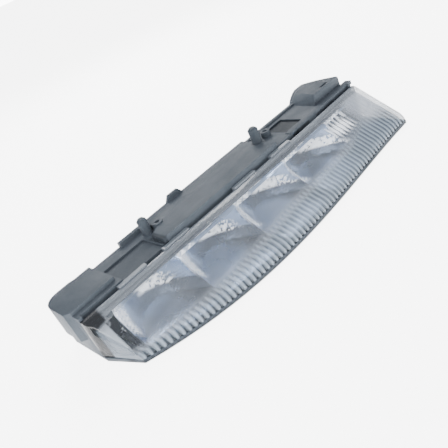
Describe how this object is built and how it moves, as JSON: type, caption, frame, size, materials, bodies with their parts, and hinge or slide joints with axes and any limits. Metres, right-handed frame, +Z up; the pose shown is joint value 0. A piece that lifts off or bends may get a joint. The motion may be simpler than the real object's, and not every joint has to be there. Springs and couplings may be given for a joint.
{
  "type": "daytime running light",
  "caption": "Long wedge-shaped vehicle daytime running light: clear lens with a fluted nose over a row of reflector bowls, in a grey moulded housing with locating pegs.",
  "frame": {"origin": "foot of the left locating peg, where its axis meets the housing's deck", "axes": "+X along the lamp from the slanted clear end to the fluted end, -Y towards the nose of the lens, +Z up along the pegs"},
  "size_m": [0.2595, 0.0931, 0.043],
  "materials": {
    "housing": "grey moulded plastic with a fine grain",
    "lens": "clear polycarbonate, fluted over the nose",
    "lens_seal": "dark grey sealant",
    "reflector": "metallised plastic",
    "board": "white solder mask",
    "driver_board": "green solder mask",
    "led": "ceramic body with a yellow emitter",
    "pad": "grey thermal pad",
    "heat_sink": "folded sheet, plain",
    "screw": "zinc-plated",
    "chip": "black moulding compound",
    "coil": "ferrite",
    "capacitor": "aluminium can",
    "lead": "flat flexible lead",
    "socket": "dark moulded plastic",
    "socket_seal": "black rubber",
    "pin": "tinned brass",
    "vent": "black rubber"
  },
  "bodies": {
    "root": {"housing": "housing", "lens": "lens", "lens_seal": "lens_seal", "reflector": "reflector", "reflector_screws": "screw", "led_board": "board", "thermal_pad": "pad", "heat_sink": "heat_sink", "driver_board": "driver_board", "driver_chip": "chip", "driver_coil": "coil", "driver_capacitor_1": "capacitor", "driver_capacitor_2": "capacitor", "driver_diode": "chip", "board_lead": "lead", "connector_socket": "socket", "connector_seal": "socket_seal", "connector_pin_1": "pin", "connector_pin_2": "pin", "connector_pin_3": "pin", "vent_cap": "vent", "led_1": "led", "led_2": "led", "led_3": "led", "led_4": "led", "led_5": "led"}
  },
  "joints": []
}
